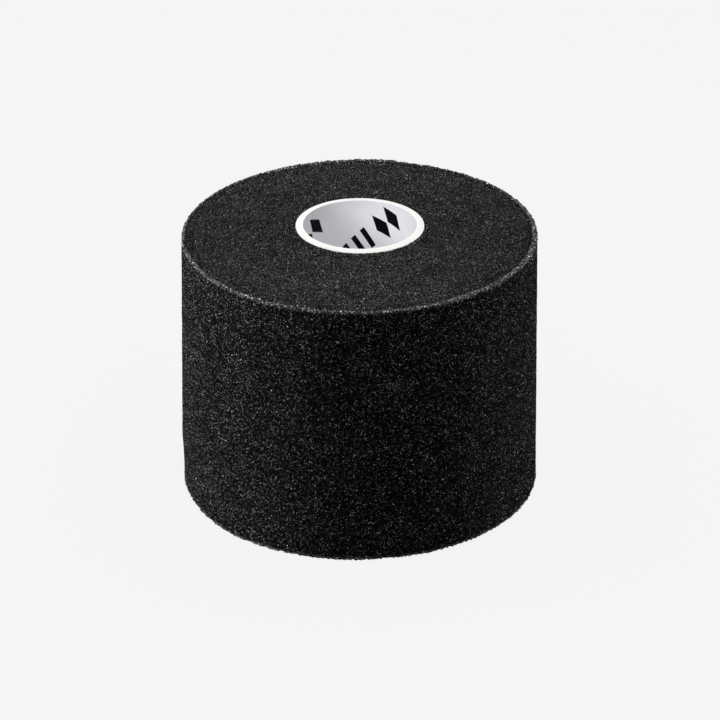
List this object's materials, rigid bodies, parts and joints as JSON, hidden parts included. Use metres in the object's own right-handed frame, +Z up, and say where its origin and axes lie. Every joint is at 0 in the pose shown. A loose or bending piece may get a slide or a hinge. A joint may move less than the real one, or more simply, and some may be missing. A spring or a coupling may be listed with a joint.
{
  "type": "foam underwrap roll",
  "caption": "Roll of thin open-cell foam wrap wound on a spiral paper core, standing on one end, with a free end that peels off the back.",
  "frame": {"origin": "on the roll's axis, in the plane of its lower end, where the outermost turns stand", "axes": "+Z up along the roll's axis; +Y towards the back, where the foam's free end lies; +X to the right"},
  "size_m": [0.0914, 0.0918, 0.0727],
  "materials": {
    "core_print_paper": "smooth coated white paper with black print",
    "core_board": "matt white board",
    "tape_film": "thin satin film",
    "black_foam": "matt open-cell foam"
  },
  "bodies": {
    "roll": {"core_liner": "core_print_paper", "core_ply_1": "core_board", "core_ply_2": "core_board", "core_ply_3": "core_board", "core_outer_ply": "core_board", "start_tape": "tape_film", "foam_wound_pack": "black_foam", "foam_outer_turn": "black_foam"},
    "tail_root": {"foam_tail_root": "black_foam"},
    "tail_mid": {"foam_tail_mid": "black_foam"},
    "tail_tip": {"foam_tail_tip": "black_foam"}
  },
  "joints": [
    {"name": "tail_root_hinge", "type": "hinge", "parent": "roll", "child": "tail_root", "pos_m": [-0.02509, 0.03865, 0.0353], "axis": [0, 0, 1], "range_deg": [0, 70]},
    {"name": "tail_mid_hinge", "type": "hinge", "parent": "tail_root", "child": "tail_mid", "pos_m": [-0.01426, 0.04384, 0.0353], "axis": [0, 0, 1], "range_deg": [0, 28]},
    {"name": "tail_tip_hinge", "type": "hinge", "parent": "tail_mid", "child": "tail_tip", "pos_m": [-0.00246, 0.04605, 0.0353], "axis": [0, 0, 1], "range_deg": [0, 28]}
  ],
  "couplings": [
    {"joint": "tail_mid_hinge", "follows": "tail_root_hinge", "ratio": 0.4},
    {"joint": "tail_tip_hinge", "follows": "tail_root_hinge", "ratio": 0.4}
  ]
}
